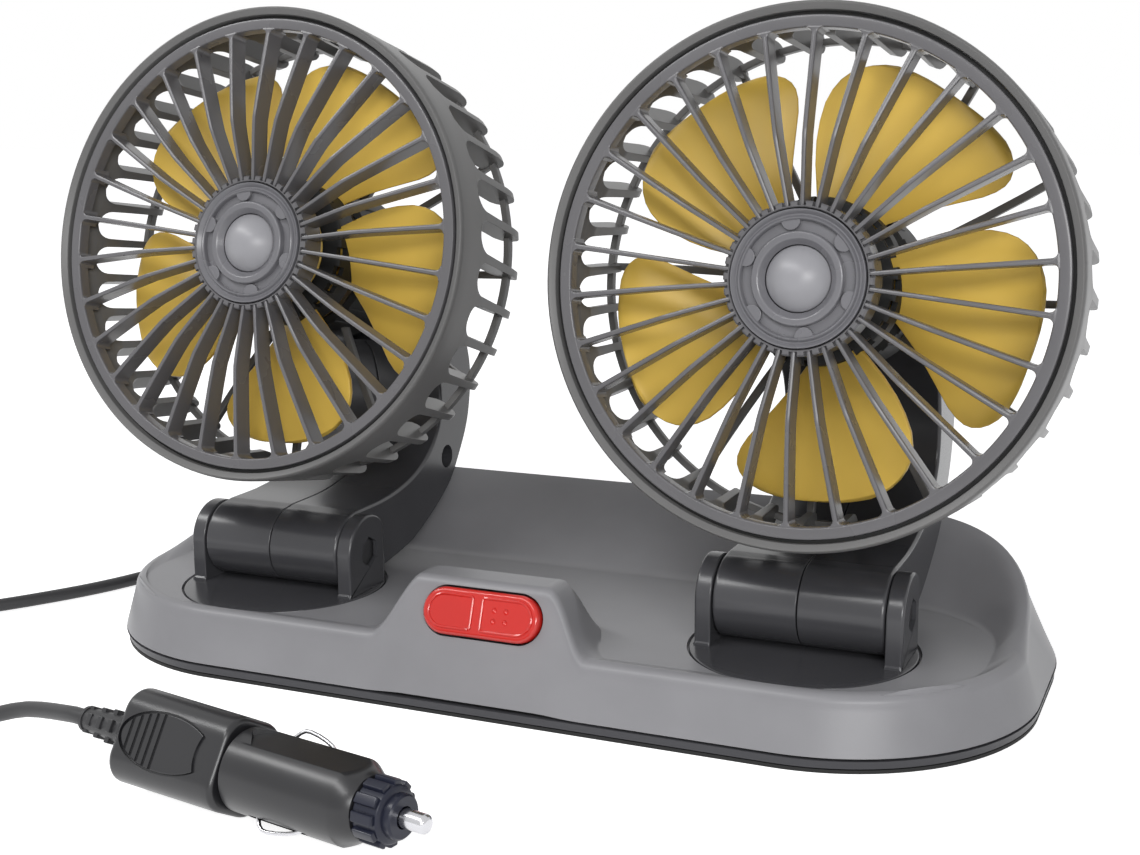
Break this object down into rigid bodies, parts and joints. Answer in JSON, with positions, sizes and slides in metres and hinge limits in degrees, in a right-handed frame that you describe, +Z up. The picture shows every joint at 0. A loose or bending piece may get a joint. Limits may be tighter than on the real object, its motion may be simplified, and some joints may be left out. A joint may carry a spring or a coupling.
{
  "type": "dual head car fan",
  "caption": "Round caged fans on folding arms and turntables, set in a low base tray with a rocker switch, on a cord with a lighter plug.",
  "frame": {"origin": "centre of the base's underside, on the surface it stands on", "axes": "+X to the right, -Y to the front where the fans face, +Z up"},
  "size_m": [0.3531, 0.2844, 0.1804],
  "materials": {
    "base_grey": "satin moulded grey",
    "graphite": "satin moulded graphite",
    "cage_graphite": "satin moulded graphite",
    "hub_graphite": "semi-gloss graphite",
    "mustard": "satin mustard",
    "red_gloss": "glossy red",
    "plug_black": "semi-gloss black",
    "cord_black": "soft black",
    "pad_rubber": "soft foam rubber",
    "inner_black": "matte black",
    "board_green": "coated board",
    "fuse_glass": "clear tube",
    "bright_metal": "polished",
    "motor_can": "plain metal can",
    "steel": "plain"
  },
  "bodies": {
    "base": {"base_cover": "inner_black", "base_pad": "pad_rubber", "base_shell": "base_grey", "circuit_board": "board_green", "coil_tie": "cord_black", "cord_coil": "cord_black", "cord_end": "cord_black", "cord_gland": "plug_black", "cord_lead": "cord_black", "cover_screw_1": "steel", "cover_screw_2": "steel", "cover_screw_3": "steel", "cover_screw_4": "steel", "plug_barrel": "plug_black", "plug_body": "plug_black", "plug_cap": "plug_black", "plug_contact_lower": "bright_metal", "plug_contact_upper": "bright_metal", "plug_relief": "plug_black", "plug_spring": "bright_metal", "switch_body": "inner_black"},
    "left_table": {"left_turntable": "graphite", "left_turntable_clip": "inner_black", "left_hinge_bolt": "steel", "left_hinge_nut": "steel"},
    "left_arm": {"left_arm_left_half": "graphite", "left_arm_right_half": "graphite", "left_arm_screw": "steel", "left_head_pin": "steel"},
    "left_head": {"left_rear_cage": "cage_graphite", "left_front_grille": "cage_graphite", "left_hub_ring": "hub_graphite", "left_hub_cap": "hub_graphite", "left_motor": "motor_can"},
    "left_fan": {"left_impeller": "mustard", "left_motor_shaft": "steel"},
    "right_table": {"right_turntable": "graphite", "right_turntable_clip": "inner_black", "right_hinge_bolt": "steel", "right_hinge_nut": "steel"},
    "right_arm": {"right_arm_left_half": "graphite", "right_arm_right_half": "graphite", "right_arm_screw": "steel", "right_head_pin": "steel"},
    "right_head": {"right_rear_cage": "cage_graphite", "right_front_grille": "cage_graphite", "right_hub_ring": "hub_graphite", "right_hub_cap": "hub_graphite", "right_motor": "motor_can"},
    "right_fan": {"right_impeller": "mustard", "right_motor_shaft": "steel"},
    "rocker": {"switch_rocker": "red_gloss"},
    "plunger": {"plug_tip": "bright_metal", "plug_fuse": "fuse_glass"}
  },
  "joints": [
    {"name": "left_table_swivel", "type": "hinge", "parent": "base", "child": "left_table", "pos_m": [-0.07755, -0.0335, 0.0174], "axis": [0, 0, 1], "range_deg": [-45, 45]},
    {"name": "left_arm_hinge", "type": "hinge", "parent": "left_table", "child": "left_arm", "pos_m": [-0.07755, -0.0305, 0.0284], "axis": [1, 0, 0], "range_deg": [-5, 30]},
    {"name": "left_head_tilt", "type": "hinge", "parent": "left_arm", "child": "left_head", "pos_m": [-0.07755, 0.0164, 0.0954], "axis": [1, 0, 0], "range_deg": [-12, 8]},
    {"name": "left_fan_spin", "type": "hinge", "parent": "left_head", "child": "left_fan", "pos_m": [-0.07755, -0.04247, 0.11642], "axis": [0, 0.977, -0.213], "continuous": true},
    {"name": "right_table_swivel", "type": "hinge", "parent": "base", "child": "right_table", "pos_m": [0.07755, -0.0335, 0.0174], "axis": [0, 0, 1], "range_deg": [-45, 45]},
    {"name": "right_arm_hinge", "type": "hinge", "parent": "right_table", "child": "right_arm", "pos_m": [0.07755, -0.0305, 0.0284], "axis": [1, 0, 0], "range_deg": [-5, 30]},
    {"name": "right_head_tilt", "type": "hinge", "parent": "right_arm", "child": "right_head", "pos_m": [0.07755, 0.0164, 0.0954], "axis": [1, 0, 0], "range_deg": [-12, 6]},
    {"name": "right_fan_spin", "type": "hinge", "parent": "right_head", "child": "right_fan", "pos_m": [0.07755, -0.04377, 0.11237], "axis": [0, 0.9893, -0.1461], "continuous": true},
    {"name": "switch_rock", "type": "hinge", "parent": "base", "child": "rocker", "pos_m": [0.001, -0.06078, 0.02493], "axis": [0, 0.3573, 0.934], "range_deg": [-6, 6]},
    {"name": "tip_press", "type": "slide", "parent": "base", "child": "plunger", "axis": [-0.9816, 0.1908, 0], "range_m": [0, 0.0022], "stiffness_N_per_m": 300}
  ]
}
